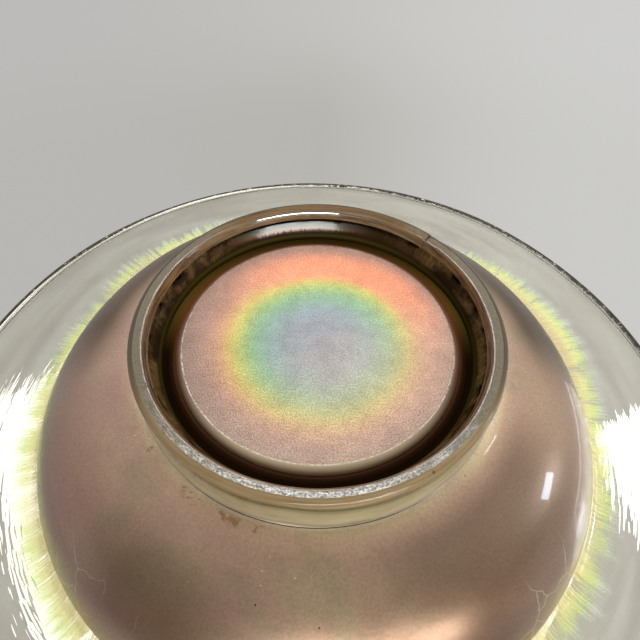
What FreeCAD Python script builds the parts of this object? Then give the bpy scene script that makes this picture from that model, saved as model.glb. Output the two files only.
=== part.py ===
"""Art glass bowl: a low, wide, free-blown bowl with a flat stretched rim, standing on an applied foot ring.

Units are millimetres. +Z points up through the mouth, and the origin is the centre of the ground
resting face under the foot ring. Every piece is turned about Z, so each one is a half section,
drawn in the XZ plane as radius against height, that is revolved once round.
"""

import FreeCAD, Part
import os
import Sketcher
from FreeCAD import Vector
from math import atan2, radians, sqrt

# Driving dimensions, in millimetres: alias, value, what it is.
DIMENSIONS = [
    ("rim_radius", 127.0, "outermost point of the lip"),
    ("lip_height", 45.4, "middle of the rounded lip above the resting face"),
    ("lip_bead_radius", 1.9, "half the thickness of the fire-polished lip"),
    ("flange_thickness", 3.2, "clear rim between the cup and the lip"),
    ("underside_fillet_radius", 4.0, "hollow curve where the cup turns out into the rim"),
    ("dome_radius", 51.6, "where the cup's underside leaves the foot ring"),
    ("dome_height", 14.5, "height of that point"),
    ("outer_wall_radius", 40.5, "radius of the cup's outer profile"),
    ("wall_thickness", 4.0, "cup wall"),
    ("joint_height", 38.0, "outer edge of the joint between the cup and the clear rim"),
    ("floor_height", 15.5, "lowest point inside the cup"),
    ("base_height", 9.8, "underside of the cup inside the foot ring"),
    ("seat_radius", 44.5, "inner edge of the foot ring where it meets the cup"),
    ("foot_edge_radius", 46.65, "inner edge of the foot ring's ground bevel"),
    ("foot_edge_height", 2.6, "height of that edge"),
    ("rest_inner_radius", 47.9, "inner edge of the flat resting face"),
    ("rest_outer_radius", 49.6, "outer edge of the flat resting face"),
    ("foot_shoulder_radius", 1.8, "rounding outside the resting face"),
    ("pad_radius", 41.0, "base pad where it meets the cup"),
    ("pad_face_radius", 39.0, "flat satin face of the base pad"),
    ("pad_face_height", 8.0, "height of that face"),
]
SIZE = {alias: value for alias, value, _ in DIMENSIONS}

START, END, CENTRE = 1, 2, 3
HORIZONTAL_AXIS, VERTICAL_AXIS = -1, -2

document = FreeCAD.newDocument("ArtGlassBowl")
sheet = document.addObject("Spreadsheet::Sheet", "Dimensions")
for row, (alias, value, meaning) in enumerate(DIMENSIONS, start=1):
    sheet.set(f"A{row}", meaning)
    sheet.set(f"B{row}", str(value))
    sheet.setAlias(f"B{row}", alias)
document.recompute()


def new_section(name):
    """Make an empty body with a sketch on its XZ plane, and return both."""
    body = document.addObject("PartDesign::Body", name)
    body.Label = name
    plane = next(feature for feature in body.Origin.OriginFeatures if feature.Role == "XZ_Plane")
    sketch = body.newObject("Sketcher::SketchObject", name + "_section")
    sketch.AttachmentSupport = [(plane, "")]
    sketch.MapMode = "FlatFace"
    return body, sketch


def add_line(sketch, start, end):
    """Add a straight edge between two (radius, height) points."""
    return sketch.addGeometry(Part.LineSegment(Vector(*start, 0), Vector(*end, 0)), False)


def add_arc(sketch, centre, start, end):
    """Add an arc that runs counter-clockwise about centre from start to end."""
    radius = sqrt((start[0] - centre[0]) ** 2 + (start[1] - centre[1]) ** 2)
    first = atan2(start[1] - centre[1], start[0] - centre[0])
    last = atan2(end[1] - centre[1], end[0] - centre[0])
    circle = Part.Circle(Vector(*centre, 0), Vector(0, 0, 1), radius)
    return sketch.addGeometry(Part.ArcOfCircle(circle, first, last), False)


def add_guide_circle(sketch, centre, radius):
    """Add a construction circle, which guides the section but isn't part of it."""
    return sketch.addGeometry(Part.Circle(Vector(*centre, 0), Vector(0, 0, 1), radius), True)


def relate(sketch, kind, *references):
    """Add a geometric constraint, such as Coincident or Tangent."""
    sketch.addConstraint(Sketcher.Constraint(kind, *references))


def drive(sketch, kind, references, value, expression=None):
    """Add a dimension, and bind it to a cell of the sheet or to an expression of cells."""
    alias_or_formula = expression or value
    start_value = SIZE[value] if isinstance(value, str) else value
    index = sketch.addConstraint(Sketcher.Constraint(kind, *references, start_value))
    name = f"size_{index}"
    sketch.renameConstraint(index, name)
    formula = alias_or_formula if expression else f"Dimensions.{alias_or_formula}"
    sketch.setExpression(f"Constraints.{name}", formula)


def place_point(sketch, geometry, position, radius_alias, height_alias):
    """Fix a vertex by the two cells that hold its radius and its height."""
    drive(sketch, "DistanceX", (HORIZONTAL_AXIS, START, geometry, position), radius_alias)
    drive(sketch, "DistanceY", (HORIZONTAL_AXIS, START, geometry, position), height_alias)


def revolve(body, sketch):
    """Turn the section once round the vertical axis."""
    revolution = body.newObject("PartDesign::Revolution", body.Name + "_turned")
    revolution.Profile = sketch
    revolution.ReferenceAxis = (sketch, ["V_Axis"])
    revolution.Angle = 360.0
    sketch.Visibility = False
    body.Tip = revolution


WALL_CENTRE = (SIZE["dome_radius"], SIZE["dome_height"] + SIZE["outer_wall_radius"])
WALL_CENTRE_HEIGHT = "Dimensions.dome_height + Dimensions.outer_wall_radius"
INNER_WALL_RADIUS = SIZE["outer_wall_radius"] - SIZE["wall_thickness"]
INNER_WALL_FORMULA = "Dimensions.outer_wall_radius - Dimensions.wall_thickness"


def joint_point(radius):
    """Return the point of the cup-to-rim joint that lies at this distance from the wall's centre."""
    drop = SIZE["joint_height"] - WALL_CENTRE[1]
    reach = sqrt(SIZE["outer_wall_radius"] ** 2 - drop ** 2)
    share = radius / SIZE["outer_wall_radius"]
    return WALL_CENTRE[0] + reach * share, WALL_CENTRE[1] + drop * share


def place_wall_centre(sketch, geometry):
    """Fix the centre that the cup's inner and outer wall profiles share."""
    drive(sketch, "DistanceX", (HORIZONTAL_AXIS, START, geometry, CENTRE), "dome_radius")
    drive(sketch, "DistanceY", (HORIZONTAL_AXIS, START, geometry, CENTRE), WALL_CENTRE[1], WALL_CENTRE_HEIGHT)


def build_bowl_body():
    """The coloured, iridised cup: a dished floor, and a wall that turns up in one arc."""
    body, sketch = new_section("bowl_body")
    base, floor = SIZE["base_height"], SIZE["floor_height"]
    seat = (SIZE["seat_radius"], base)
    dome = (SIZE["dome_radius"], SIZE["dome_height"])
    rim_outside, rim_inside = joint_point(SIZE["outer_wall_radius"]), joint_point(INNER_WALL_RADIUS)
    # The floor's dish is a large circle about the axis, tangent inside the inner wall's circle.
    rise = WALL_CENTRE[1] - floor
    dish_radius = (WALL_CENTRE[0] ** 2 + rise ** 2 - INNER_WALL_RADIUS ** 2) / (2 * (rise - INNER_WALL_RADIUS))
    dish_centre = (0.0, floor + dish_radius)
    tilt = atan2(WALL_CENTRE[0], dish_centre[1] - WALL_CENTRE[1])
    dish_edge = (WALL_CENTRE[0] + INNER_WALL_RADIUS * tilt, WALL_CENTRE[1] - INNER_WALL_RADIUS)

    underside = add_line(sketch, (0, base), seat)
    ring_seat = add_line(sketch, seat, dome)
    outer_wall = add_arc(sketch, WALL_CENTRE, dome, rim_outside)
    rim_joint = add_line(sketch, rim_outside, rim_inside)
    inner_wall = add_arc(sketch, WALL_CENTRE, dish_edge, rim_inside)
    dish = add_arc(sketch, dish_centre, (0, floor), dish_edge)
    axis = add_line(sketch, (0, floor), (0, base))

    relate(sketch, "Coincident", underside, END, ring_seat, START)
    relate(sketch, "Coincident", ring_seat, END, outer_wall, START)
    relate(sketch, "Coincident", outer_wall, END, rim_joint, START)
    relate(sketch, "Coincident", rim_joint, END, inner_wall, END)
    relate(sketch, "Coincident", inner_wall, CENTRE, outer_wall, CENTRE)
    relate(sketch, "Tangent", inner_wall, START, dish, END)
    relate(sketch, "Coincident", dish, START, axis, START)
    relate(sketch, "Coincident", axis, END, underside, START)
    relate(sketch, "Horizontal", underside)
    relate(sketch, "PointOnObject", underside, START, VERTICAL_AXIS)
    relate(sketch, "PointOnObject", dish, START, VERTICAL_AXIS)
    relate(sketch, "PointOnObject", dish, CENTRE, VERTICAL_AXIS)
    relate(sketch, "PointOnObject", outer_wall, CENTRE, rim_joint)
    relate(sketch, "Vertical", outer_wall, START, outer_wall, CENTRE)

    place_point(sketch, underside, END, "seat_radius", "base_height")
    place_wall_centre(sketch, outer_wall)
    drive(sketch, "Radius", (outer_wall,), "outer_wall_radius")
    drive(sketch, "Radius", (inner_wall,), INNER_WALL_RADIUS, INNER_WALL_FORMULA)
    drive(sketch, "DistanceY", (HORIZONTAL_AXIS, START, outer_wall, END), "joint_height")
    drive(sketch, "DistanceY", (HORIZONTAL_AXIS, START, dish, START), "floor_height")
    revolve(body, sketch)
    return body


def build_rim_flange():
    """The clear rim: it turns out of the cup's wall, runs nearly level and ends in a rounded lip."""
    body, sketch = new_section("rim_flange")
    rim_outside, rim_inside = joint_point(SIZE["outer_wall_radius"]), joint_point(INNER_WALL_RADIUS)
    fillet = SIZE["underside_fillet_radius"]
    half = SIZE["flange_thickness"] / 2
    bead_centre = (SIZE["rim_radius"] - SIZE["lip_bead_radius"], SIZE["lip_height"])
    # The wall's direction at the joint, as a unit vector from the wall's centre to the joint.
    out_r = (rim_outside[0] - WALL_CENTRE[0]) / SIZE["outer_wall_radius"]
    out_z = (rim_outside[1] - WALL_CENTRE[1]) / SIZE["outer_wall_radius"]
    fillet_centre = (rim_outside[0] + fillet * out_r, rim_outside[1] + fillet * out_z)
    crest_radius = fillet + SIZE["wall_thickness"] / 2
    crest_centre = (rim_inside[0] + crest_radius * out_r, rim_inside[1] + crest_radius * out_z)
    fillet_end = (fillet_centre[0], fillet_centre[1] + fillet)
    crest_end = (crest_centre[0], crest_centre[1] + crest_radius)
    bead_low = (bead_centre[0] - half, bead_centre[1] - half)
    bead_high = (bead_centre[0] - half, bead_centre[1] + half)

    outer_guide = add_guide_circle(sketch, WALL_CENTRE, SIZE["outer_wall_radius"])
    inner_guide = add_guide_circle(sketch, WALL_CENTRE, INNER_WALL_RADIUS)
    rim_joint = add_line(sketch, rim_outside, rim_inside)
    turn_below = add_arc(sketch, fillet_centre, fillet_end, rim_outside)
    underside = add_line(sketch, fillet_end, bead_low)
    lip = add_arc(sketch, bead_centre, bead_low, bead_high)
    upper_side = add_line(sketch, bead_high, crest_end)
    turn_above = add_arc(sketch, crest_centre, crest_end, rim_inside)

    relate(sketch, "Coincident", inner_guide, CENTRE, outer_guide, CENTRE)
    relate(sketch, "Coincident", rim_joint, START, turn_below, END)
    relate(sketch, "Coincident", rim_joint, END, turn_above, END)
    relate(sketch, "Tangent", turn_below, END, outer_guide)
    relate(sketch, "Tangent", turn_above, END, inner_guide)
    relate(sketch, "PointOnObject", outer_guide, CENTRE, rim_joint)
    relate(sketch, "Tangent", turn_below, START, underside, START)
    relate(sketch, "Coincident", underside, END, lip, START)
    relate(sketch, "Coincident", lip, END, upper_side, START)
    relate(sketch, "Tangent", upper_side, END, turn_above, START)
    relate(sketch, "Parallel", underside, upper_side)

    place_wall_centre(sketch, outer_guide)
    drive(sketch, "Radius", (outer_guide,), "outer_wall_radius")
    drive(sketch, "Radius", (inner_guide,), INNER_WALL_RADIUS, INNER_WALL_FORMULA)
    drive(sketch, "DistanceY", (HORIZONTAL_AXIS, START, rim_joint, START), "joint_height")
    drive(sketch, "Radius", (turn_below,), "underside_fillet_radius")
    drive(sketch, "Radius", (lip,), "lip_bead_radius")
    drive(sketch, "DistanceX", (HORIZONTAL_AXIS, START, lip, CENTRE), bead_centre[0],
          "Dimensions.rim_radius - Dimensions.lip_bead_radius")
    drive(sketch, "DistanceY", (HORIZONTAL_AXIS, START, lip, CENTRE), "lip_height")
    for face in (underside, upper_side):
        drive(sketch, "Distance", (lip, CENTRE, face), half, "Dimensions.flange_thickness / 2")
    revolve(body, sketch)
    return body


def build_foot_ring():
    """The applied clear ring: a bevel and a narrow flat are ground on its lower edge."""
    body, sketch = new_section("foot_ring")
    inner_rest, outer_rest = (SIZE["rest_inner_radius"], 0), (SIZE["rest_outer_radius"], 0)
    rounding = SIZE["foot_shoulder_radius"]
    shoulder_centre = (outer_rest[0], rounding)
    shoulder_end = (outer_rest[0] + rounding, rounding)
    dome = (SIZE["dome_radius"], SIZE["dome_height"])
    seat = (SIZE["seat_radius"], SIZE["base_height"])
    edge = (SIZE["foot_edge_radius"], SIZE["foot_edge_height"])

    rest_face = add_line(sketch, inner_rest, outer_rest)
    shoulder = add_arc(sketch, shoulder_centre, outer_rest, shoulder_end)
    outer_side = add_line(sketch, shoulder_end, dome)
    cup_seat = add_line(sketch, dome, seat)
    inner_side = add_line(sketch, seat, edge)
    bevel = add_line(sketch, edge, inner_rest)

    relate(sketch, "Tangent", rest_face, END, shoulder, START)
    relate(sketch, "Tangent", shoulder, END, outer_side, START)
    relate(sketch, "Coincident", outer_side, END, cup_seat, START)
    relate(sketch, "Coincident", cup_seat, END, inner_side, START)
    relate(sketch, "Coincident", inner_side, END, bevel, START)
    relate(sketch, "Coincident", bevel, END, rest_face, START)
    relate(sketch, "PointOnObject", rest_face, START, HORIZONTAL_AXIS)
    relate(sketch, "PointOnObject", rest_face, END, HORIZONTAL_AXIS)

    drive(sketch, "DistanceX", (HORIZONTAL_AXIS, START, rest_face, START), "rest_inner_radius")
    drive(sketch, "DistanceX", (HORIZONTAL_AXIS, START, rest_face, END), "rest_outer_radius")
    drive(sketch, "Radius", (shoulder,), "foot_shoulder_radius")
    place_point(sketch, outer_side, END, "dome_radius", "dome_height")
    place_point(sketch, cup_seat, END, "seat_radius", "base_height")
    place_point(sketch, inner_side, END, "foot_edge_radius", "foot_edge_height")
    revolve(body, sketch)
    return body


def build_base_pad():
    """The round satin pad under the floor, set back inside the foot ring with a moat round it."""
    body, sketch = new_section("base_pad")
    face, base = SIZE["pad_face_height"], SIZE["base_height"]
    depth, overhang = base - face, SIZE["pad_radius"] - SIZE["pad_face_radius"]
    rounding = (depth ** 2 + overhang ** 2) / (2 * depth)
    face_edge, pad_edge = (SIZE["pad_face_radius"], face), (SIZE["pad_radius"], base)

    satin_face = add_line(sketch, (0, face), face_edge)
    shoulder = add_arc(sketch, (face_edge[0], face + rounding), face_edge, pad_edge)
    cup_side = add_line(sketch, pad_edge, (0, base))
    axis = add_line(sketch, (0, base), (0, face))

    relate(sketch, "Tangent", satin_face, END, shoulder, START)
    relate(sketch, "Coincident", shoulder, END, cup_side, START)
    relate(sketch, "Coincident", cup_side, END, axis, START)
    relate(sketch, "Coincident", axis, END, satin_face, START)
    relate(sketch, "Horizontal", satin_face)
    relate(sketch, "Horizontal", cup_side)
    relate(sketch, "PointOnObject", axis, START, VERTICAL_AXIS)
    relate(sketch, "PointOnObject", axis, END, VERTICAL_AXIS)

    place_point(sketch, satin_face, END, "pad_face_radius", "pad_face_height")
    place_point(sketch, shoulder, END, "pad_radius", "base_height")
    revolve(body, sketch)
    return body


pieces = [build_bowl_body(), build_rim_flange(), build_foot_ring(), build_base_pad()]
document.recompute()

for item in document.Objects:
    if "Invalid" in item.State or "Error" in item.State:
        raise RuntimeError(f"{item.Label} did not recompute: {item.State}")
for piece in pieces:
    if piece.Shape.isNull() or not piece.Shape.isValid() or len(piece.Shape.Solids) != 1:
        raise RuntimeError(f"{piece.Label} is not one valid solid")

os.makedirs("parts", exist_ok=True)
for piece in pieces:
    piece.Shape.exportStep(f"parts/{piece.Label}.step")
    box = piece.Shape.optimalBoundingBox()
    print(f"{piece.Label}: {piece.Shape.Volume / 1000:.1f} cm3, radius {box.XMax:.2f}, "
          f"height {box.ZMin:.2f} to {box.ZMax:.2f}")
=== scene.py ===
"""Looks of the art glass bowl: lustrous film, clear stretched rim, ground foot ring and satin base pad.

The bowl stands upright in the CAD frame, in metres. The main camera is below it and looks up at its
underside with the image turned over, which is how the bowl was shown: resting on its rim, foot upward.
"""

from math import asin, atan2, cos, pi, radians, sin, sqrt, tau

import bpy
from mathutils import Matrix, Vector, noise


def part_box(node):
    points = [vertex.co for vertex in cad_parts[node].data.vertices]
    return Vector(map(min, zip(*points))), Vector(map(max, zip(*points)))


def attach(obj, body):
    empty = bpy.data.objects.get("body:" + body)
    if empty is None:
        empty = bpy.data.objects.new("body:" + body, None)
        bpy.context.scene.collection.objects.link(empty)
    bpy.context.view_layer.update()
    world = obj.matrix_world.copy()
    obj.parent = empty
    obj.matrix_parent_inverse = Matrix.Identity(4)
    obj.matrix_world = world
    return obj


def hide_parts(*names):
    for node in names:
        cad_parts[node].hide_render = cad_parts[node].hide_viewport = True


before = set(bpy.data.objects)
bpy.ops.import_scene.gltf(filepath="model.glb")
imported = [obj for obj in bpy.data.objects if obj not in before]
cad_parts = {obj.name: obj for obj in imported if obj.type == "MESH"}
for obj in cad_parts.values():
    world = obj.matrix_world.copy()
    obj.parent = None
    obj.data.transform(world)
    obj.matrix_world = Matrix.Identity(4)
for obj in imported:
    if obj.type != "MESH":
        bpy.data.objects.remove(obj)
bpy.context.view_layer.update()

MM = 0.001


# ---------------------------------------------------------------- sizes, in metres

RIM_LOW, RIM_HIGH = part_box("rim_flange")
CUP_LOW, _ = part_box("bowl_body")
_, FOOT_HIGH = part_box("foot_ring")
PAD_LOW, PAD_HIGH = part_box("base_pad")

# The clear rim and its lip. The lip sags towards +X and its edge is a little inside the CAD's circle.
LIP_BEAD = 1.9 * MM
RIM_RADIUS = RIM_HIGH.x
LIP_HEIGHT = RIM_HIGH.z - LIP_BEAD
FLANGE_HALF = 1.6 * MM
JOINT_HEIGHT = RIM_LOW.z
FILLET_RADIUS = 4.0 * MM
CREST_RADIUS = 6.8 * MM
RIM_TILT = 0.8 * MM
RIM_SAG = 0.25 * MM
RIM_WAVE = 0.3 * MM
LIP_TRIM = 0.3 * MM
LIP_TRIM_WAVE = 0.35 * MM
JOINT_LAP = 0.1 * MM
JOINT_LAP_ANGLE = radians(0.6)
LIP_LINE_FIRST, LIP_LINE_LAST = radians(-142), radians(-28)

# The cup.
BASE_HEIGHT = CUP_LOW.z
DOME_RADIUS = FOOT_HIGH.x
DOME_HEIGHT = FOOT_HIGH.z
OUTER_WALL = 40.5 * MM
INNER_WALL = 36.5 * MM
WALL_CENTRE = (DOME_RADIUS, DOME_HEIGHT + OUTER_WALL)
FLOOR_HEIGHT = 15.5 * MM
WALL_WAVE = 0.5 * MM

# The foot ring. FULLER lists how much fuller it is, towards which direction, and how far to either side of
# that, both in degrees.
SEAT_RADIUS = 44.5 * MM
FOOT_EDGE = (46.65 * MM, 2.6 * MM)
REST_INNER, REST_OUTER = 47.9 * MM, 49.6 * MM
FOOT_SHOULDER = 1.8 * MM
SEAT_SINK = 0.25 * MM
BEVEL_CROWN = 1.5 * MM
FULLER = [(1.3 * MM, 90, 100), (0.7 * MM, 180, 75), (0.5 * MM, 0, 70)]
FOOT_WAIST = 0.35 * MM
FOOT_BELLY = 0.05 * MM
WORN_EDGE_WIDTH = 1.2 * MM
WORN_EDGE_WAVE = 0.12 * MM
SEAM_DEGREES = 135
SECOND_SEAM_DEGREES = -28
SEAM_DEPTH = 0.35 * MM
SEAM_LAP = 0.3 * MM

# The satin pad.
PAD_FACE = PAD_LOW.z
PAD_RADIUS = PAD_HIGH.x
PAD_FACE_RADIUS = 39.0 * MM
PAD_EDGE_WIDTH = 2.0 * MM
PAD_TRIM = 0.15 * MM
PAD_TRIM_WAVE = 0.3 * MM


# ---------------------------------------------------------------- turned meshes

def on_circle(centre, radius, angle):
    """The point at an angle on a circle of a section."""
    return (centre[0] + radius * cos(angle), centre[1] + radius * sin(angle))


def line(start, end, count):
    """Points from start to end, without the last one."""
    return [(start[0] + (end[0] - start[0]) * i / count, start[1] + (end[1] - start[1]) * i / count)
            for i in range(count)]


def arc(centre, radius, first, last, count):
    """Points on an arc of a section, without the last one."""
    return [on_circle(centre, radius, first + (last - first) * i / count) for i in range(count)]


def turned(name, runs, segments, shape):
    """Turn a closed section about Z into a mesh.

    runs is a list of (material index, points), in order round the section. A section that starts and
    ends on the axis gets a pole at each end. shape(radius, height, angle) returns the radius and height
    of the hand-made glass at that place.
    """
    section = [point for _, points in runs for point in points]
    material_of = [index for index, points in runs for _ in points]
    to_axis = section[0][0] < 1e-6
    vertices, faces, materials = [], [], []
    rows = []
    for radius, height in section:
        if radius < 1e-6:
            rows.append([len(vertices)] * segments)
            vertices.append((0, 0, height))
            continue
        rows.append(list(range(len(vertices), len(vertices) + segments)))
        for step in range(segments):
            angle = tau * step / segments
            r, z = shape(radius, height, angle)
            vertices.append((r * cos(angle), r * sin(angle), z))
    pairs = len(section) - 1 if to_axis else len(section)
    for i in range(pairs):
        low, high = rows[i], rows[(i + 1) % len(section)]
        for step in range(segments):
            after = (step + 1) % segments
            corners = [low[step], low[after], high[after], high[step]]
            corners = [c for k, c in enumerate(corners) if c != corners[k - 1]]
            faces.append(corners)
            materials.append(material_of[i])
    mesh = bpy.data.meshes.new(name)
    mesh.from_pydata(vertices, [], faces)
    mesh.polygons.foreach_set("material_index", materials)
    mesh.polygons.foreach_set("use_smooth", [True] * len(faces))
    mesh.update()
    piece = bpy.data.objects.new(name, mesh)
    bpy.context.scene.collection.objects.link(piece)
    return piece


def wave(angle, seed, size, turns=1.5):
    """A smooth value between about -size and size that closes on itself round the bowl."""
    return size * noise.noise(Vector((turns * cos(angle), turns * sin(angle), seed)))


def near(angle, middle, reach):
    """1 at the middle angle, easing to 0 at reach either side; middle and reach are in degrees."""
    away = min(1.0, abs((angle - radians(middle) + pi) % tau - pi) / radians(reach))
    return (1 - away) ** 2 * (1 + 2 * away)


def share(value, low, high):
    """0 at low and 1 at high, held beyond both."""
    return max(0.0, min(1.0, (value - low) / (high - low)))


def peak(value, middle, width):
    """1 at the middle, falling straight to 0 at width either side."""
    return max(0.0, 1 - abs(value - middle) / width)


# ---------------------------------------------------------------- shader helpers

def srgb(red, green, blue):
    """A colour given as 0 to 255, as the linear values that Blender uses."""
    def linear(value):
        value /= 255
        return value / 12.92 if value <= 0.04045 else ((value + 0.055) / 1.055) ** 2.4
    return (linear(red), linear(green), linear(blue), 1.0)


WHITE = srgb(255, 255, 255)


class NodeTree:
    """A node tree under construction, with short methods for its nodes."""

    def __init__(self, tree, output, coordinates):
        self.nodes, self.links = tree.nodes, tree.links
        self.nodes.clear()
        self.output = self.nodes.new(output)
        self.place = self.nodes.new("ShaderNodeTexCoord").outputs[coordinates]

    def put(self, value, socket):
        """Set a socket to a constant, or link it to another socket."""
        if isinstance(value, bpy.types.NodeSocket):
            self.links.new(value, socket)
        else:
            socket.default_value = value

    def math(self, operation, first, second=0.0):
        node = self.nodes.new("ShaderNodeMath")
        node.operation = operation
        self.put(first, node.inputs[0])
        self.put(second, node.inputs[1])
        return node.outputs[0]

    def times(self, first, *others):
        """The product of values and sockets."""
        for other in others:
            first = self.math("MULTIPLY", first, other)
        return first

    def plus(self, first, *others):
        """The sum of values and sockets."""
        for other in others:
            first = self.math("ADD", first, other)
        return first

    def most(self, first, *others):
        """The greatest of values and sockets."""
        for other in others:
            first = self.math("MAXIMUM", first, other)
        return first

    def length(self, x, y):
        """The distance of (x, y) from the origin."""
        return self.math("SQRT", self.plus(self.times(x, x), self.times(y, y)))

    def offset(self, value, size):
        """A noise value, 0 to 1, as an offset of up to half of size either way."""
        return self.times(self.math("SUBTRACT", value, 0.5), size)

    def split(self):
        """The X, Y and Z of the coordinates."""
        node = self.nodes.new("ShaderNodeSeparateXYZ")
        self.links.new(self.place, node.inputs[0])
        return node.outputs[:3]

    def noise(self, scale, detail=2.0, roughness=0.5, vector=None, distortion=0.0):
        node = self.nodes.new("ShaderNodeTexNoise")
        self.links.new(vector or self.place, node.inputs["Vector"])
        node.inputs["Scale"].default_value = scale
        node.inputs["Detail"].default_value = detail
        node.inputs["Roughness"].default_value = roughness
        node.inputs["Distortion"].default_value = distortion
        return node.outputs["Fac"]

    def cells(self, scale, feature="F1", vector=None):
        node = self.nodes.new("ShaderNodeTexVoronoi")
        node.feature = feature
        self.links.new(vector or self.place, node.inputs["Vector"])
        node.inputs["Scale"].default_value = scale
        return node.outputs["Distance"]

    def span(self, value, low, high, start=0.0, end=1.0, smooth=True):
        """Map value from low..high to start..end, held at both ends; low may be above high."""
        node = self.nodes.new("ShaderNodeMapRange")
        node.interpolation_type = "SMOOTHSTEP" if smooth else "LINEAR"
        self.put(value, node.inputs["Value"])
        node.inputs["From Min"].default_value = low
        node.inputs["From Max"].default_value = high
        node.inputs["To Min"].default_value = start
        node.inputs["To Max"].default_value = end
        return node.outputs["Result"]

    def band(self, value, start, full, fading, gone):
        """1 between full and fading, easing to 0 at start and at gone."""
        return self.times(self.span(value, start, full), self.span(value, fading, gone, 1.0, 0.0))

    def ramp(self, value, stops):
        """A colour ramp; stops is a list of (place from 0 to 1, colour)."""
        node = self.nodes.new("ShaderNodeValToRGB")
        elements = node.color_ramp.elements
        while len(elements) > 1:
            elements.remove(elements[-1])
        elements[0].position, elements[0].color = stops[0]
        for position, color in stops[1:]:
            elements.new(position).color = color
        self.put(value, node.inputs["Fac"])
        return node.outputs["Color"]

    def mix(self, factor, first, second, blend="MIX"):
        node = self.nodes.new("ShaderNodeMix")
        node.data_type = "RGBA"
        node.blend_type = blend
        self.put(factor, node.inputs["Factor"])
        self.put(first, node.inputs[6])
        self.put(second, node.inputs[7])
        return node.outputs[2]

    def shaded(self, color, value, low, high, dark):
        """Multiply a colour by dark where value is low, easing to no change where it's high."""
        return self.mix(1.0, color, self.ramp(value, [(low, dark), (high, WHITE)]), blend="MULTIPLY")


class Surface(NodeTree):
    """A material under construction.

    radius, height and angle are the place on the bowl, and outward is its direction from the axis.
    """

    def __init__(self, name):
        self.material = bpy.data.materials.new(name)
        self.material.use_nodes = True
        super().__init__(self.material.node_tree, "ShaderNodeOutputMaterial", "Object")
        x, y, self.height = self.split()
        self.radius = self.length(x, y)
        self.angle = self.math("ARCTAN2", y, x)
        flat = self.nodes.new("ShaderNodeCombineXYZ")
        self.links.new(x, flat.inputs[0])
        self.links.new(y, flat.inputs[1])
        outward = self.nodes.new("ShaderNodeVectorMath")
        outward.operation = "NORMALIZE"
        self.links.new(flat.outputs[0], outward.inputs[0])
        self.outward = outward.outputs[0]

    def turned_from(self, degrees):
        """The angle between a place and a direction given in degrees, either way round, up to half a turn."""
        straight = self.math("ABSOLUTE", self.math("SUBTRACT", self.angle, radians(degrees)))
        return self.math("MINIMUM", straight, self.math("SUBTRACT", tau, straight))

    def facing(self, direction, full, done, least=0.0):
        """1 where a place is full degrees from a direction, easing to least where it is done degrees."""
        return self.span(self.turned_from(direction), radians(full), radians(done), 1.0, least)

    def rays(self, turns, along):
        """Coordinates for a pattern drawn out along the radius: fine round the bowl, long outward."""
        scaled = self.nodes.new("ShaderNodeVectorMath")
        scaled.operation = "SCALE"
        self.links.new(self.outward, scaled.inputs[0])
        scaled.inputs["Scale"].default_value = turns
        lift = self.nodes.new("ShaderNodeCombineXYZ")
        self.links.new(self.times(self.radius, along), lift.inputs[2])
        total = self.nodes.new("ShaderNodeVectorMath")
        total.operation = "ADD"
        self.links.new(scaled.outputs[0], total.inputs[0])
        self.links.new(lift.outputs[0], total.inputs[1])
        return total.outputs[0]

    def drawn(self, turns, along, detail=4, roughness=0.6):
        """Noise drawn out along the radius, or round the bowl where along is much finer than turns."""
        return self.noise(1.0, detail, roughness, vector=self.rays(turns, along))

    def shaken(self, scale, size):
        """The coordinates, displaced at random by up to about size."""
        node = self.nodes.new("ShaderNodeTexNoise")
        self.links.new(self.place, node.inputs["Vector"])
        node.inputs["Scale"].default_value = scale
        moved = self.nodes.new("ShaderNodeVectorMath")
        moved.operation = "MULTIPLY_ADD"
        self.links.new(node.outputs["Color"], moved.inputs[0])
        moved.inputs[1].default_value = (size, size, size)
        self.links.new(self.place, moved.inputs[2])
        return moved.outputs[0]

    def specks(self, scale, edge, patch_scale, patch):
        """Round specks that lie in patches; edge and patch are the low and high ends of their fades."""
        spots = self.span(self.cells(scale), *edge, 1.0, 0.0)
        return self.times(spots, self.span(self.noise(patch_scale), *patch))

    def bump(self, height, strength, distance):
        node = self.nodes.new("ShaderNodeBump")
        node.inputs["Strength"].default_value = strength
        node.inputs["Distance"].default_value = distance
        self.links.new(height, node.inputs["Height"])
        return node.outputs["Normal"]

    def principled(self, **inputs):
        """The shader of glass; a name's underscores stand for the spaces in the input's name."""
        node = self.nodes.new("ShaderNodeBsdfPrincipled")
        node.inputs["IOR"].default_value = 1.5
        for name, value in inputs.items():
            self.put(value, node.inputs[name.replace("_", " ")])
        return node.outputs[0]

    def blend(self, factor, first, second):
        node = self.nodes.new("ShaderNodeMixShader")
        self.put(factor, node.inputs[0])
        self.links.new(first, node.inputs[1])
        self.links.new(second, node.inputs[2])
        return node.outputs[0]

    def lamp_clear(self, shader, tint):
        """Let lamps through clear glass, so that it doesn't throw a solid shadow."""
        path = self.nodes.new("ShaderNodeLightPath")
        clear = self.nodes.new("ShaderNodeBsdfTransparent")
        clear.inputs["Color"].default_value = tint
        return self.blend(path.outputs["Is Shadow Ray"], shader, clear.outputs[0])

    def finish(self, shader):
        self.links.new(shader, self.output.inputs["Surface"])
        return self.material


# ---------------------------------------------------------------- the cup's film

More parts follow.
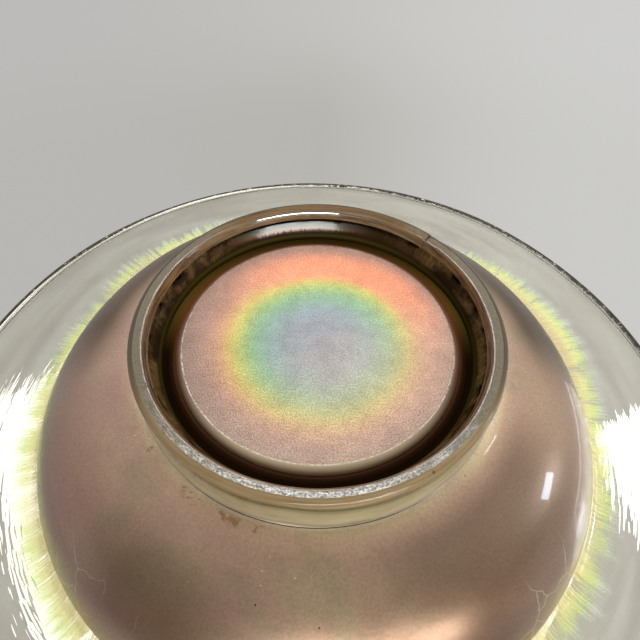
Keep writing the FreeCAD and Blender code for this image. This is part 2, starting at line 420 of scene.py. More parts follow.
def film_material(name, bands, drift):
    """Lustrous film over dark glass. bands is a list of (radius, colour) from the axis outward."""
    surface = Surface(name)
    broad = surface.noise(13, detail=3, roughness=0.55)
    swirl = surface.noise(34, detail=4, roughness=0.6, distortion=0.8)
    warped = surface.plus(surface.radius, surface.span(broad, 0.25, 0.75, -drift, drift, smooth=False))
    reach = bands[-1][0]
    color = surface.ramp(surface.math("DIVIDE", warped, reach), [(r / reach, c) for r, c in bands])

    patches = surface.noise(17, detail=4, roughness=0.6, distortion=1.2)
    color = surface.mix(surface.span(patches, 0.5, 0.66, 0.0, 0.45), color, srgb(156, 154, 114))
    plum = surface.span(surface.noise(21, detail=3), 0.5, 0.7, 0.0, 0.4)
    color = surface.mix(plum, color, srgb(160, 116, 118))

    grain = surface.noise(1500, detail=3, roughness=0.7)
    color = surface.shaded(color, grain, 0.3, 0.7, srgb(225, 225, 225))
    color = surface.mix(surface.specks(420, (0.05, 0.09), 60, (0.58, 0.66)), color, srgb(225, 215, 200))
    color = surface.mix(surface.specks(260, (0.04, 0.075), 45, (0.56, 0.62)), color, srgb(40, 28, 22))
    relief = surface.plus(surface.noise(240, detail=4, roughness=0.6), surface.times(grain, 0.35))
    roughness = surface.span(swirl, 0.3, 0.7, 0.28, 0.38)
    return surface, color, surface.bump(relief, 0.07, 0.4 * MM), roughness


def make_outer_film():
    """The cup's outside: straw by the foot, then rose, mauve and brown, darkest high on the wall, where shade
    is painted.
    """
    bands = [
        (0.0, srgb(30, 20, 14)),
        (51.0 * MM, srgb(235, 220, 190)),
        (53.0 * MM, srgb(232, 210, 172)),
        (55.0 * MM, srgb(220, 184, 154)),
        (59.0 * MM, srgb(208, 172, 148)),
        (65.0 * MM, srgb(206, 172, 142)),
        (72.0 * MM, srgb(190, 156, 128)),
        (79.0 * MM, srgb(160, 128, 104)),
        (84.0 * MM, srgb(150, 124, 106)),
        (88.0 * MM, srgb(176, 158, 130)),
        (92.0 * MM, srgb(196, 178, 146)),
    ]
    surface, color, normal, roughness = film_material("outer_film", bands, 1.2 * MM)
    radius = surface.radius
    # Amber residue that has settled beside the foot ring's joint, from -Y round towards +X.
    stain = surface.times(
        surface.span(surface.noise(190, detail=4, roughness=0.7), 0.52, 0.6),
        surface.band(radius, 52.2 * MM, 53.4 * MM, 54.2 * MM, 56.0 * MM),
        surface.band(surface.angle, radians(-95), radians(-75), radians(-32), radians(-20)))
    color = surface.mix(surface.times(stain, 0.7), color, srgb(150, 104, 48))

    # Painted shade: the film is darkened high on the wall towards +Y, and in three broad patches beside -Y.
    # The camera sees -X on its right.
    high = surface.times(
        surface.span(radius, 58 * MM, 70 * MM),
        surface.facing(90, 78, 102),
        surface.span(surface.noise(9, detail=2), 0.3, 0.6, 0.8, 1.0))
    left = surface.times(surface.facing(-60, 4, 22), surface.span(radius, 56 * MM, 76 * MM))
    right = surface.times(
        surface.facing(-130, 14, 36),
        surface.span(radius, 53 * MM, 62 * MM),
        surface.span(radius, 74 * MM, 82 * MM, 1.0, 0.4))
    sides = surface.times(surface.most(left, right), surface.span(radius, 81 * MM, 85 * MM, 1.0, 0.0))
    low = surface.times(surface.facing(-112, 6, 24), surface.span(radius, 70 * MM, 76 * MM))
    painted_shade = surface.most(surface.times(high, 0.9), surface.times(surface.most(sides, low), 0.5))
    color = surface.mix(painted_shade, color, srgb(66, 46, 28))

    # Fine crackle where the film was stretched near the rim.
    crack = surface.cells(75, "DISTANCE_TO_EDGE", vector=surface.shaken(150, 5 * MM))
    crack = surface.times(
        surface.span(crack, 0.004, 0.014, 1.0, 0.0),
        surface.span(radius, 76 * MM, 84 * MM),
        surface.span(surface.noise(28), 0.45, 0.6))
    color = surface.mix(surface.times(crack, 0.6), color, srgb(206, 190, 160))

    dull = surface.times(surface.facing(-90, 32, 50), surface.span(radius, 66 * MM, 71 * MM))
    dull = surface.most(dull, surface.times(high, 0.8))
    return surface.finish(surface.principled(
        Base_Color=color, Metallic=0.6, Roughness=roughness, Normal=normal, Specular_IOR_Level=0.2,
        Coat_Weight=surface.span(dull, 0.0, 1.0, 0.5, 0.05), Coat_Roughness=0.03, Coat_IOR=1.5))


def make_inner_film():
    """The inside of the cup: straw gold on the floor, through rose and mauve to blue-green on the wall."""
    bands = [
        (0.0, srgb(196, 176, 142)),
        (18.0 * MM, srgb(204, 176, 136)),
        (34.0 * MM, srgb(200, 156, 132)),
        (48.0 * MM, srgb(178, 134, 130)),
        (58.0 * MM, srgb(152, 124, 138)),
        (66.0 * MM, srgb(126, 134, 140)),
        (73.0 * MM, srgb(134, 152, 132)),
        (79.0 * MM, srgb(182, 172, 122)),
        (84.0 * MM, srgb(196, 156, 128)),
        (88.0 * MM, srgb(206, 190, 160)),
    ]
    surface, color, normal, roughness = film_material("inner_film", bands, 2.4 * MM)
    return surface.finish(surface.principled(
        Base_Color=color, Metallic=0.55, Roughness=roughness, Normal=normal,
        Coat_Weight=1.0, Coat_Roughness=0.05, Coat_IOR=1.5))


# ---------------------------------------------------------------- the recess inside the foot ring

class RecessGlass(Surface):
    """Dark brown glass with fine drawn streaks and soft blotches."""

    def __init__(self, name):
        super().__init__(name)
        self.streaks = self.drawn(90, 1500, roughness=0.7)
        self.blotches = self.noise(120, detail=3, roughness=0.6)

    def complete(self, color, coat):
        """Finish the glass, polished where coat is 1. The coat's high IOR gives it strong reflections."""
        normal = self.bump(self.plus(self.blotches, self.streaks), 0.25, 0.4 * MM)
        roughness = self.span(self.streaks, 0.35, 0.75, 0.08, 0.24)
        return self.finish(self.principled(
            Base_Color=color, Roughness=roughness, Normal=normal, Specular_IOR_Level=0.0,
            Coat_Weight=coat, Coat_Roughness=0.04, Coat_IOR=4.0))


def make_recess_floor():
    """The moat round the pad: matt, paler next to the pad, and more olive towards +Y."""
    surface = RecessGlass("recess_floor")
    place = surface.span(surface.radius, PAD_RADIUS - 1 * MM, SEAT_RADIUS, smooth=False)
    front = surface.ramp(place, [
        (0.0, srgb(124, 88, 68)),
        (0.22, srgb(96, 60, 40)),
        (0.42, srgb(44, 26, 12)),
        (0.68, srgb(26, 14, 5)),
        (1.0, srgb(28, 18, 6)),
    ])
    behind = surface.ramp(place, [
        (0.0, srgb(150, 90, 60)),
        (0.3, srgb(112, 62, 34)),
        (0.6, srgb(98, 72, 30)),
        (1.0, srgb(96, 76, 30)),
    ])
    return surface.complete(surface.mix(surface.facing(90, 70, 100), front, behind), coat=0.0)


def make_recess_wall():
    """The ring's inner wall: olive by the floor, black by the edge as painted shade under it, and blotched at
    its sides.
    """
    surface = RecessGlass("recess_wall")
    place = surface.span(surface.height, BASE_HEIGHT, FOOT_EDGE[1], smooth=False)
    color = surface.ramp(place, [
        (0.0, srgb(44, 30, 10)),
        (0.1, srgb(48, 36, 12)),
        (0.2, srgb(60, 52, 20)),
        (0.34, srgb(40, 28, 12)),
        (0.75, srgb(46, 31, 17)),
        # Painted shade: near black just below the edge.
        (0.86, srgb(10, 7, 4)),
        (1.0, srgb(6, 4, 3)),
    ])
    pale = surface.times(
        surface.span(surface.streaks, 0.4, 0.7, 0.3, 0.75),
        surface.span(surface.blotches, 0.35, 0.6),
        surface.span(surface.height, 8 * MM, 6 * MM),
        surface.facing(90, 60, 28, 0.1))
    color = surface.mix(pale, color, srgb(136, 106, 64))
    # It's polished towards +Y only. The polish wears off towards the floor and ends short of the edge.
    worn = surface.plus(place, surface.offset(surface.streaks, 0.35))
    coat = surface.times(
        surface.facing(80, 14, 34, 0.03),
        surface.span(place, 0.86, 0.91, 1.0, 0.0),
        surface.span(worn, 0.4, 0.6, 0.05, 1.0))
    return surface.complete(color, coat)


# ---------------------------------------------------------------- the clear rim

def make_rim_glass():
    """Clear glass with a grey-green tint, and film that broke into rays beside the cup, painted bright there
    as highlights.
    """
    surface = Surface("rim_glass")
    ripple = surface.drawn(3.0, 260, detail=3)
    glass = surface.principled(
        Base_Color=surface.ramp(ripple, [(0.3, srgb(224, 219, 206)), (0.7, srgb(240, 235, 222))]),
        Roughness=0.02, Normal=surface.bump(ripple, 0.25, 0.6 * MM), Transmission_Weight=1.0)

    # The film reaches furthest out in two stretches, one either side of a direction just past +Y.
    furthest = surface.turned_from(102)
    reach = surface.band(furthest, radians(20), radians(42), radians(60), radians(85))
    drawn_in = surface.math("SUBTRACT", surface.radius, surface.times(reach, 6.0 * MM))
    bands = surface.ramp(surface.span(drawn_in, 88 * MM, 106 * MM, smooth=False), [
        (0.0, srgb(232, 214, 160)),
        (0.18, srgb(250, 246, 170)),
        (0.32, srgb(232, 252, 150)),
        (0.5, srgb(236, 250, 228)),
        (0.75, srgb(236, 240, 242)),
        (1.0, srgb(220, 224, 220)),
    ])
    rays = surface.drawn(75, 60, detail=5, roughness=0.65)
    patches = surface.drawn(5.0, 40, detail=2, roughness=0.5)
    inside = surface.span(drawn_in, 89 * MM, 103 * MM, 0.9, 0.0)
    # The film is real, but its near-white rays are painted highlights where it catches the light.
    streak = surface.times(
        inside,
        surface.span(surface.plus(rays, surface.times(inside, 0.16)), 0.5, 0.68),
        surface.span(patches, 0.34, 0.52, 0.5, 1.0),
        surface.span(furthest, radians(16), radians(36), 0.2, 1.0))
    haze = surface.times(surface.span(ripple, 0.35, 0.65), 0.08)
    film = surface.principled(
        Base_Color=bands, Metallic=0.3, Roughness=0.28, Normal=surface.bump(rays, 0.5, 0.5 * MM),
        Coat_Weight=1.0, Coat_Roughness=0.03)
    shader = surface.blend(surface.most(streak, haze), glass, film)
    return surface.finish(surface.lamp_clear(shader, srgb(232, 232, 226)))


def make_lip_glass():
    """The crest of the lip: a dark broken line, a painted reflection of dark surroundings in the bent edge.
    """
    surface = Surface("lip_glass")
    beads = surface.drawn(60, 700, roughness=0.7)
    normal = surface.bump(beads, 0.3, 0.5 * MM)
    # Inside the dark line is a bright one, broken by dark specks from just past +Y round to -X.
    inner = surface.span(surface.radius, RIM_RADIUS - 2.8 * MM, RIM_RADIUS - 3.0 * MM)
    speckled = surface.times(
        surface.span(surface.angle, radians(80), radians(92)),
        surface.span(beads, 0.42, 0.56, 1.0, 0.2))
    bright = surface.times(inner, surface.math("SUBTRACT", 1.0, speckled))
    pale = surface.most(surface.span(beads, 0.58, 0.68, 0.0, 0.7), bright)
    glass = surface.principled(
        Base_Color=srgb(222, 220, 208), Roughness=0.04, Normal=normal, Transmission_Weight=1.0)
    # The crest's dark colour is painted, standing in for the dark reflections in the bent edge.
    crest = surface.principled(
        Base_Color=surface.ramp(beads, [(0.3, srgb(46, 45, 38)), (0.7, srgb(80, 78, 66))]),
        Roughness=0.3, Normal=normal, Specular_IOR_Level=0.1)
    return surface.finish(surface.lamp_clear(surface.blend(pale, crest, glass), srgb(190, 190, 184)))


# ---------------------------------------------------------------- the foot ring's glass

def brown_specks(surface, color):
    """Small brown specks of trapped dirt."""
    return surface.mix(surface.specks(300, (0.1, 0.16), 90, (0.54, 0.6)), color, srgb(92, 62, 36))


def seam_shadow(surface):
    """Share of shadow in the fold where the foot ring's two ends meet, widening towards the outside."""
    width = surface.span(surface.radius, REST_INNER, DOME_RADIUS, 0.2, 1.0, smooth=False)
    place = surface.math("DIVIDE", surface.turned_from(SEAM_DEGREES), width)
    return surface.span(place, radians(0.5), radians(1.1), 0.9, 0.0)


def make_foot_glass():
    """The foot ring's polished outside: straw glass, with a green line under its shoulder."""
    surface = Surface("foot_glass")
    drift = surface.span(
        surface.drawn(2.0, 0, detail=2, roughness=0.5), 0.3, 0.7, -0.8 * MM, 0.8 * MM, smooth=False)
    wandering = surface.plus(surface.height, drift)
    color = surface.ramp(surface.span(wandering, 0.0, DOME_HEIGHT, smooth=False), [
        (0.0, srgb(178, 152, 112)),
        (0.13, srgb(166, 142, 102)),
        (0.22, srgb(92, 92, 56)),
        (0.3, srgb(150, 142, 106)),
        (0.45, srgb(192, 178, 140)),
        (0.8, srgb(200, 184, 148)),
        (0.9, srgb(160, 150, 134)),
        (0.97, srgb(236, 216, 192)),
    ])
    threads = surface.drawn(3.0, 2600)
    color = surface.shaded(color, threads, 0.3, 0.7, srgb(215, 210, 196))
    color = brown_specks(surface, color)
    # Painted shade darkens the sides and back of the shoulder.
    by_shoulder = surface.span(surface.height, 4 * MM, 8 * MM, 1.0, 0.0)
    painted_shoulder_shade = surface.times(surface.facing(-90, 80, 42), by_shoulder, 0.85)
    color = surface.mix(painted_shoulder_shade, color, srgb(74, 66, 54))
    color = surface.mix(seam_shadow(surface), color, srgb(38, 30, 22))
    normal = surface.bump(surface.plus(threads, surface.noise(90, detail=3)), 0.2, 0.5 * MM)
    shader = surface.principled(
        Base_Color=color, Roughness=0.14, Normal=normal, Transmission_Weight=0.3,
        Specular_IOR_Level=0.15, Coat_Weight=0.15, Coat_Roughness=0.05)
    return surface.finish(surface.lamp_clear(shader, srgb(190, 180, 150)))


def make_ground_glass():
    """The resting face: frosted, with painted glints towards -Y, softly ground at the sides, smooth towards
    +Y.
    """
    surface = Surface("ground_glass")
    radius = surface.radius
    ragged = surface.offset(surface.noise(260, detail=4), 0.9)
    frosted = surface.span(surface.plus(surface.turned_from(90), ragged), radians(30), radians(64))
    painted_glints = surface.span(surface.plus(surface.turned_from(-90), ragged), radians(62), radians(10))

    threads = surface.drawn(3.5, 3000, roughness=0.65)
    smooth_color = surface.ramp(threads, [
        (0.3, srgb(84, 62, 40)),
        (0.5, srgb(124, 100, 72)),
        (0.7, srgb(150, 126, 96)),
    ])
    smooth_color = brown_specks(surface, smooth_color)
    smooth_color = surface.mix(seam_shadow(surface), smooth_color, srgb(28, 20, 14))
    # One polished line runs round the bevel, and shines towards +Y.
    line_share = surface.band(radius, 47.05 * MM, 47.2 * MM, 47.65 * MM, 47.85 * MM)
    polished = surface.principled(
        Base_Color=smooth_color, Roughness=0.2, Specular_IOR_Level=0.0,
        Normal=surface.bump(threads, 0.12, 0.4 * MM),
        Coat_Weight=surface.times(line_share, surface.facing(86, 20, 34, 0.06)),
        Coat_Roughness=0.05, Coat_IOR=4.0)

    grit = surface.noise(1700, detail=4, roughness=0.75)
    scuffs = surface.drawn(26, 2600, detail=5, roughness=0.75)
    ground_color = surface.ramp(grit, [(0.3, srgb(84, 74, 50)), (0.7, srgb(136, 122, 92))])
    # The grit is real; its near-white glints towards -Y are painted highlights.
    glint_color = surface.ramp(surface.plus(surface.times(grit, 0.5), surface.times(scuffs, 0.5)), [
        (0.42, srgb(92, 84, 70)),
        (0.5, srgb(190, 182, 168)),
        (0.56, srgb(255, 255, 252)),
    ])
    ground_color = surface.mix(painted_glints, ground_color, glint_color)
    ground_color = surface.mix(seam_shadow(surface), ground_color, srgb(38, 30, 22))
    rough = surface.principled(
        Base_Color=ground_color, Roughness=0.4, Specular_IOR_Level=0.8,
        Normal=surface.bump(grit, 0.6, 0.5 * MM), Transmission_Weight=0.1)

    # Amber glass shows at the bevel, inside the frosted face.
    inner = surface.plus(radius, surface.times(ragged, 1.2 * MM))
    brown = surface.times(surface.span(inner, 47.9 * MM, 48.3 * MM, 1.0, 0.0), frosted)
    amber = surface.principled(
        Base_Color=surface.mix(surface.span(threads, 0.35, 0.65), srgb(64, 40, 22), srgb(128, 96, 58)),
        Roughness=0.14, Normal=surface.bump(threads, 0.3, 0.4 * MM), Coat_Weight=0.5, Coat_Roughness=0.05)
    shader = surface.blend(brown, surface.blend(frosted, polished, rough), amber)
    return surface.finish(surface.lamp_clear(shader, srgb(180, 174, 156)))


# ---------------------------------------------------------------- the pad's glass

def make_satin_lustre():
    """The base pad: fine satin grain with a painted rainbow halo, a lamp's reflection, round a point just off
    its centre.
    """
    surface = Surface("satin_lustre")
    x, y, _ = surface.split()
    x = surface.plus(x, 0.6 * MM)
    y = surface.plus(y, 2.5 * MM)
    away = surface.plus(
        surface.length(x, y),
        surface.offset(surface.noise(38, detail=3), 3.0 * MM),
        surface.offset(surface.noise(1400, detail=2, roughness=0.8), 6.5 * MM))
    reach = 42 * MM
    painted_halo = surface.ramp(surface.math("DIVIDE", away, reach), [
        (0.0, srgb(158, 159, 165)),
        (9 * MM / reach, srgb(155, 162, 164)),
        (14 * MM / reach, srgb(148, 170, 164)),
        (18.5 * MM / reach, srgb(148, 186, 148)),
        (22 * MM / reach, srgb(172, 196, 120)),
        (25.2 * MM / reach, srgb(218, 202, 108)),
        (28 * MM / reach, srgb(226, 178, 122)),
        (31.5 * MM / reach, srgb(216, 156, 124)),
        (36 * MM / reach, srgb(186, 140, 120)),
        (40 * MM / reach, srgb(172, 132, 114)),
    ])
    # The painted halo is strongest towards +Y and greys out towards -Y. A painted orange glow lies outside
    # its +Y half.
    slant = surface.plus(y, surface.times(x, -0.35))
    strength = surface.span(slant, -36 * MM, 30 * MM, 0.35, 1.0)
    fade = surface.times(surface.span(away, 26 * MM, 34 * MM), surface.math("SUBTRACT", 1.0, strength))
    color = surface.mix(fade, painted_halo, srgb(172, 150, 135))
    painted_glow = surface.times(
        surface.band(away, 24 * MM, 28 * MM, 33 * MM, 41 * MM),
        surface.span(slant, 4 * MM, 34 * MM))
    color = surface.mix(painted_glow, color, srgb(255, 162, 118))
    blue = surface.times(surface.span(y, 0.0, 14 * MM), surface.span(away, 8 * MM, 15 * MM, 1.0, 0.0))
    color = surface.mix(surface.times(blue, 0.6), color, srgb(150, 156, 172))
    dusty = surface.span(surface.plus(y, surface.times(x, 0.7)), 12 * MM, -30 * MM, 0.0, 0.4)
    color = surface.mix(dusty, color, srgb(228, 196, 172))

    brushed = surface.noise(150, detail=5, roughness=0.75, distortion=0.5)
    color = surface.shaded(color, brushed, 0.35, 0.65, srgb(228, 225, 225))
    sparkle = surface.noise(2000, detail=2, roughness=0.9)
    color = surface.shaded(color, sparkle, 0.3, 0.7, srgb(178, 178, 178))
    return surface.finish(surface.principled(
        Base_Color=color, Roughness=0.42, Metallic=0.4, Normal=surface.bump(sparkle, 0.35, 0.3 * MM)))


def make_pad_edge():
    """The pad's rounded edge: dark red-brown glass, bright in bits where the satin face ends, with painted
    light towards -Y.
    """
    surface = Surface("pad_edge")
    chips = surface.noise(1200, detail=4, roughness=0.8)
    chipped = surface.plus(surface.radius, surface.times(chips, 0.5 * MM))
    # Painted highlight: the bright line is strongest towards -Y, and the edge is painted paler there.
    crest = surface.times(
        surface.span(chipped, 39.3 * MM, 39.6 * MM, 1.0, 0.0),
        surface.span(chips, 0.42, 0.58, 0.15, 1.0),
        surface.facing(-90, 60, 120, 0.25))
    painted_glow = surface.mix(surface.facing(-90, 75, 20), srgb(206, 182, 148), srgb(128, 92, 70))
    color = surface.mix(crest, painted_glow, srgb(246, 238, 224))
    return surface.finish(surface.principled(
        Base_Color=color, Roughness=0.16, Coat_Weight=0.5, Coat_Roughness=0.05))


# ---------------------------------------------------------------- the four pieces

# The joint between the cup and the rim, square across the wall.
JOINT_ANGLE = asin((JOINT_HEIGHT - WALL_CENTRE[1]) / OUTER_WALL)
JOINT_OUTSIDE = on_circle(WALL_CENTRE, OUTER_WALL, JOINT_ANGLE)
JOINT_INSIDE = on_circle(WALL_CENTRE, INNER_WALL, JOINT_ANGLE)


def finish_piece(piece, node, materials):
    for material in materials:
        piece.data.materials.append(material)
    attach(piece, "root")
    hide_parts(node)


def build_cup():
    """The cup, with its recess, outside, joint and inside as runs of one closed section."""
    dish_rise = WALL_CENTRE[1] - FLOOR_HEIGHT
    dish_radius = (DOME_RADIUS ** 2 + dish_rise ** 2 - INNER_WALL ** 2) / (2 * (dish_rise - INNER_WALL))
    dish_centre = (0.0, FLOOR_HEIGHT + dish_radius)
    dish_angle = -pi / 2 + atan2(DOME_RADIUS, dish_centre[1] - WALL_CENTRE[1])
    recess = line((0, BASE_HEIGHT), (SEAT_RADIUS, BASE_HEIGHT), 24)
    seat = line((SEAT_RADIUS, BASE_HEIGHT), (DOME_RADIUS, DOME_HEIGHT), 6)
    outside = arc(WALL_CENTRE, OUTER_WALL, -pi / 2, JOINT_ANGLE, 56)
    joint = line(JOINT_OUTSIDE, JOINT_INSIDE, 4)
    inside = arc(WALL_CENTRE, INNER_WALL, JOINT_ANGLE, dish_angle, 44)
    dish = arc(dish_centre, dish_radius, dish_angle, -pi / 2, 26) + [(0, FLOOR_HEIGHT)]

    def shape(radius, height, angle):
        """The wall waves gently between the foot ring and the joint, where it's held round."""
        on_wall = share(height, DOME_HEIGHT, JOINT_HEIGHT)
        eased = on_wall * (1 - on_wall) * 4
        return radius + eased * wave(angle, 3.1 + 20 * height, WALL_WAVE), height

    runs = [(1, recess), (1, seat), (0, outside), (0, joint), (2, inside), (2, dish)]
    piece = turned("bowl_cup", runs, 360, shape)
    finish_piece(piece, "bowl_body", [
        make_outer_film(), make_recess_floor(), make_inner_film()])


def build_rim():
    """The clear rim: a little lower towards +X, gently wavy, with a rounded lip of uneven thickness."""
    out = (cos(JOINT_ANGLE), sin(JOINT_ANGLE))
    fillet_centre = (JOINT_OUTSIDE[0] + FILLET_RADIUS * out[0], JOINT_OUTSIDE[1] + FILLET_RADIUS * out[1])
    crest_centre = (JOINT_INSIDE[0] + CREST_RADIUS * out[0], JOINT_INSIDE[1] + CREST_RADIUS * out[1])
    bead_centre = (RIM_RADIUS - LIP_BEAD, LIP_HEIGHT)
    # The rim's slope makes its underside tangent to the fillet and half a thickness below the bead's centre.
    run, rise = bead_centre[0] - fillet_centre[0], bead_centre[1] - fillet_centre[1]
    slope = atan2(rise, run) - (FILLET_RADIUS + FLANGE_HALF) / sqrt(run ** 2 + rise ** 2)
    square_up = slope + pi / 2
    to_joint = JOINT_ANGLE + pi
    half_open = pi - asin(FLANGE_HALF / LIP_BEAD)

    fillet = arc(fillet_centre, FILLET_RADIUS, to_joint, square_up, 18)
    bead_below = arc(bead_centre, LIP_BEAD, slope - half_open, LIP_LINE_FIRST, 4)
    bead_line = arc(bead_centre, LIP_BEAD, LIP_LINE_FIRST, LIP_LINE_LAST, 14)
    bead_above = arc(bead_centre, LIP_BEAD, LIP_LINE_LAST, slope + half_open, 16)
    under = line(on_circle(fillet_centre, FILLET_RADIUS, square_up), bead_below[0], 40)
    over = line(on_circle(bead_centre, LIP_BEAD, slope + half_open),
                on_circle(crest_centre, CREST_RADIUS, square_up), 40)
    crest = arc(crest_centre, CREST_RADIUS, square_up, to_joint, 20)
    # The joint is lapped a hair into the cup's wall, so that no gap shows.
    lapped = JOINT_ANGLE - JOINT_LAP_ANGLE
    joint = [
        JOINT_INSIDE,
        on_circle(WALL_CENTRE, INNER_WALL + JOINT_LAP, lapped),
        on_circle(WALL_CENTRE, OUTER_WALL - JOINT_LAP, lapped),
    ]

    def shape(radius, height, angle):
        """The further out, the more the rim drops and waves."""
        out_share = share(radius, JOINT_OUTSIDE[0], RIM_RADIUS)
        drop = RIM_TILT * (1 + cos(angle)) + RIM_SAG + wave(angle, 7.7, RIM_WAVE, 2.2)
        trim = LIP_TRIM + wave(angle, 11.2, LIP_TRIM_WAVE, 2.8)
        return radius - out_share * trim, height - out_share * drop

    runs = [(0, fillet), (0, under), (0, bead_below), (1, bead_line),
            (0, bead_above), (0, over), (0, crest), (0, joint)]
    piece = turned("clear_rim", runs, 480, shape)
    finish_piece(piece, "rim_flange", [make_rim_glass(), make_lip_glass()])


def build_foot():
    """The foot ring: rounded and ground below, and lapped where its two ends were closed."""
    inner_rest, outer_rest = (REST_INNER, 0.0), (REST_OUTER, 0.0)
    bevel_steps = 12
    bevel = []
    for i, (radius, height) in enumerate(line(FOOT_EDGE, inner_rest, bevel_steps)):
        along = i / bevel_steps
        crown = BEVEL_CROWN * along ** 2.4 * (1 - along) ** 0.8
        bevel.append((radius - crown, height - 0.5 * crown))
    rest = line(inner_rest, outer_rest, 8)
    shoulder = arc((REST_OUTER, FOOT_SHOULDER), FOOT_SHOULDER, -pi / 2, 0, 12)
    side = line((REST_OUTER + FOOT_SHOULDER, FOOT_SHOULDER), (DOME_RADIUS, DOME_HEIGHT), 24)
    seat = line((DOME_RADIUS - SEAT_SINK, DOME_HEIGHT + SEAT_SINK),
                (SEAT_RADIUS - SEAT_SINK, BASE_HEIGHT + SEAT_SINK), 10)
    inner = line((SEAT_RADIUS, BASE_HEIGHT), FOOT_EDGE, 24)

    def shape(radius, height, angle):
        """Fuller outside, waisted, worn at the bevel's inner edge, and grooved where the ends meet."""
        low = share(height, DOME_HEIGHT, 0.0)
        outward = share(radius, REST_INNER, REST_OUTER)
        fuller = sum(size * near(angle, middle, reach) for size, middle, reach in FULLER)
        waist = FOOT_WAIST * sin(pi * low)
        down_wall = share(height, FOOT_EDGE[1], BASE_HEIGHT)
        belly = FOOT_BELLY * sin(pi * down_wall) if radius < REST_INNER else 0.0
        worn = wave(angle, 5.5, WORN_EDGE_WAVE, 9) * peak(radius, FOOT_EDGE[0], WORN_EDGE_WIDTH)
        lap = SEAM_LAP * near(angle, SEAM_DEGREES + 3, 5)
        groove = near(angle, SEAM_DEGREES, 1.0) + 0.5 * near(angle, SECOND_SEAM_DEGREES, 0.8)
        moved = radius - belly + (worn - lap) * low + (fuller - waist) * outward
        return moved, height + SEAM_DEPTH * groove * low

    runs = [(1, bevel), (1, rest), (0, shoulder), (0, side), (0, seat), (2, inner)]
    piece = turned("foot_ring_glass", runs, 720, shape)
    finish_piece(piece, "foot_ring", [
        make_foot_glass(), make_ground_glass(), make_recess_wall()])


def build_pad():
    """The satin pad, flat on its face, with a rounded edge that is a little ragged."""
    depth = PAD_HIGH.z - PAD_FACE
    overhang = PAD_RADIUS - PAD_FACE_RADIUS
    rounding = (depth ** 2 + overhang ** 2) / (2 * depth)
    last = -pi / 2 + atan2(overhang, rounding - depth)
    face = line((0, PAD_FACE), (PAD_FACE_RADIUS, PAD_FACE), 60)
    shoulder = arc((PAD_FACE_RADIUS, PAD_FACE + rounding), rounding, -pi / 2, last, 14)
    back = line((PAD_RADIUS, PAD_HIGH.z), (0, PAD_HIGH.z), 8) + [(0, PAD_HIGH.z)]

    def shape(radius, height, angle):
        """The edge of the face is trimmed unevenly."""
        trim = PAD_TRIM + wave(angle, 1.3, PAD_TRIM_WAVE, 7)
        return radius - trim * peak(radius, PAD_FACE_RADIUS, PAD_EDGE_WIDTH), height

    piece = turned("satin_pad", [(0, face), (1, shoulder), (1, back)], 480, shape)
    finish_piece(piece, "base_pad", [make_satin_lustre(), make_pad_edge()])


# ---------------------------------------------------------------- stage, light and camera

# Name, azimuth and elevation in degrees, distance, width and height in metres, power in watts, colour.
LAMPS = [
    ("side_window", 183, -15, 1.1, 0.14, 0.12, 1.2, (0.66, 0.8, 1.0)),
    ("side_slit", 147, -55, 1.1, 0.02, 0.08, 0.08, (0.93, 0.96, 1.0)),
    ("front_window", -105, -13, 1.0, 0.95, 0.24, 10.0, (1.0, 1.0, 1.0)),
    ("low_back", 92, -53, 1.2, 0.8, 0.38, 8.0, (1.0, 1.0, 1.0)),
    ("ceiling", 60, 70, 1.8, 1.4, 1.4, 8.0, (1.0, 1.0, 1.0)),
    ("room_window", 168, 35, 1.6, 0.9, 1.1, 6.0, (0.94, 0.97, 1.0)),
]

CAMERA_LENS = 27.06
CAMERA_PLACE = Vector((0.0, -85.5 * MM, -102.6 * MM))
CAMERA_AIM = Vector((-0.43 * MM, 1.55 * MM, FOOT_EDGE[1]))
CAMERA_ROLL = radians(-1.4)


def build_floor():
    """A pale floor that is seen from above only, so that the bowl's underside can be seen from below."""
    half = 30.0
    corners = [(-half, -half, 0), (half, -half, 0), (half, half, 0), (-half, half, 0)]
    mesh = bpy.data.meshes.new("floor")
    mesh.from_pydata(corners, [], [(0, 1, 2, 3)])
    floor = bpy.data.objects.new("floor", mesh)
    bpy.context.scene.collection.objects.link(floor)
    surface = Surface("pale_floor")
    mottled = surface.noise(60, detail=3)
    color = surface.ramp(mottled, [(0.3, srgb(214, 212, 207)), (0.7, srgb(219, 217, 212))])
    paint = surface.principled(Base_Color=color, Roughness=0.75, IOR=1.4)
    clear = surface.nodes.new("ShaderNodeBsdfTransparent")
    side = surface.nodes.new("ShaderNodeNewGeometry").outputs["Backfacing"]
    mesh.materials.append(surface.finish(surface.blend(side, paint, clear.outputs[0])))
    floor.visible_shadow = False
    floor.visible_diffuse = False
    floor.visible_glossy = False


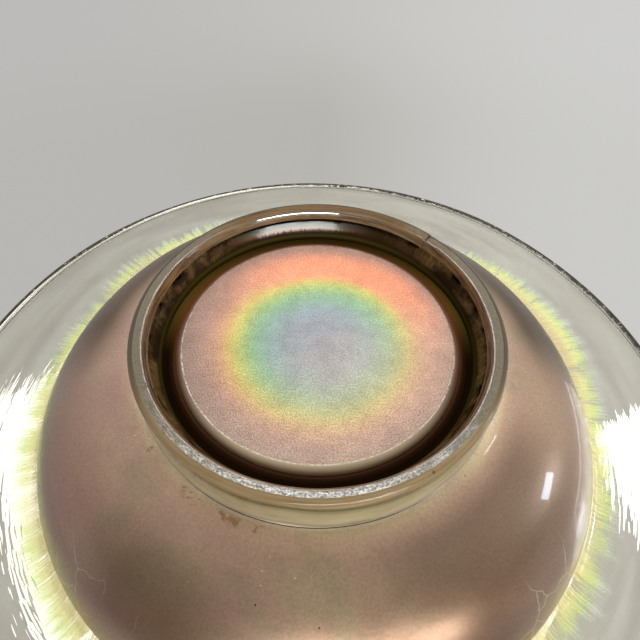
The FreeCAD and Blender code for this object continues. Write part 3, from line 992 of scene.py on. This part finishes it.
def build_world():
    """A soft grey room: a pale wall down to just below the horizon, and dimmer light from below."""
    world = bpy.data.worlds.new("grey_room")
    bpy.context.scene.world = world
    world.use_nodes = True
    room = NodeTree(world.node_tree, "ShaderNodeOutputWorld", "Generated")
    x, y, z = room.split()
    across = room.span(x, -0.5, 0.5)
    upper_wall = room.ramp(across, [
        (0.0, (0.600, 0.595, 0.575, 1)), (0.5, (0.470, 0.463, 0.430, 1)), (1.0, (0.480, 0.475, 0.455, 1))])
    lower_wall = room.ramp(across, [
        (0.0, (0.620, 0.615, 0.600, 1)), (0.5, (0.550, 0.543, 0.520, 1)), (1.0, (0.500, 0.495, 0.482, 1))])
    wall = room.mix(room.span(z, 0.30, 0.48), lower_wall, upper_wall)
    below = room.ramp(room.span(y, -0.7, 0.7), [
        (0.0, (0.10, 0.097, 0.09, 1)), (0.5, (0.42, 0.41, 0.40, 1)), (1.0, (0.70, 0.70, 0.70, 1))])
    background = room.nodes.new("ShaderNodeBackground")
    room.links.new(room.mix(room.span(z, -0.2, -0.1), below, wall), background.inputs["Color"])
    room.links.new(background.outputs[0], room.output.inputs["Surface"])


def add_lamp(name, azimuth, elevation, distance, width, height, power, color):
    """A soft rectangular lamp that faces the bowl from a direction given in degrees."""
    data = bpy.data.lights.new(name, "AREA")
    data.shape = "RECTANGLE"
    data.size, data.size_y = width, height
    data.energy = power
    data.color = color
    lamp = bpy.data.objects.new(name, data)
    bpy.context.scene.collection.objects.link(lamp)
    flat, tall = distance * cos(radians(elevation)), distance * sin(radians(elevation))
    lamp.location = (flat * cos(radians(azimuth)), flat * sin(radians(azimuth)), tall)
    lamp.rotation_euler = lamp.location.to_track_quat("Z", "Y").to_euler()
    lamp.visible_camera = False


def build_camera():
    """The camera below the upright bowl, turned over, as near as a phone held over the bowl's foot."""
    data = bpy.data.cameras.new("camera")
    data.sensor_width = 36.0
    data.lens = CAMERA_LENS
    data.clip_start = 5 * MM
    camera = bpy.data.objects.new("camera", data)
    bpy.context.scene.collection.objects.link(camera)
    forward = (CAMERA_AIM - CAMERA_PLACE).normalized()
    down = Vector((0, 0, -1))
    upright = (down - forward * down.dot(forward)).normalized()
    up = cos(CAMERA_ROLL) * upright + sin(CAMERA_ROLL) * forward.cross(upright)
    right = forward.cross(up)
    camera.matrix_world = Matrix((
        (right.x, up.x, -forward.x, CAMERA_PLACE.x),
        (right.y, up.y, -forward.y, CAMERA_PLACE.y),
        (right.z, up.z, -forward.z, CAMERA_PLACE.z),
        (0, 0, 0, 1)))
    bpy.context.scene.camera = camera


bpy.context.scene.view_settings.view_transform = "Standard"
build_camera()
build_cup()
build_rim()
build_foot()
build_pad()
build_floor()
build_world()
for lamp_row in LAMPS:
    add_lamp(*lamp_row)
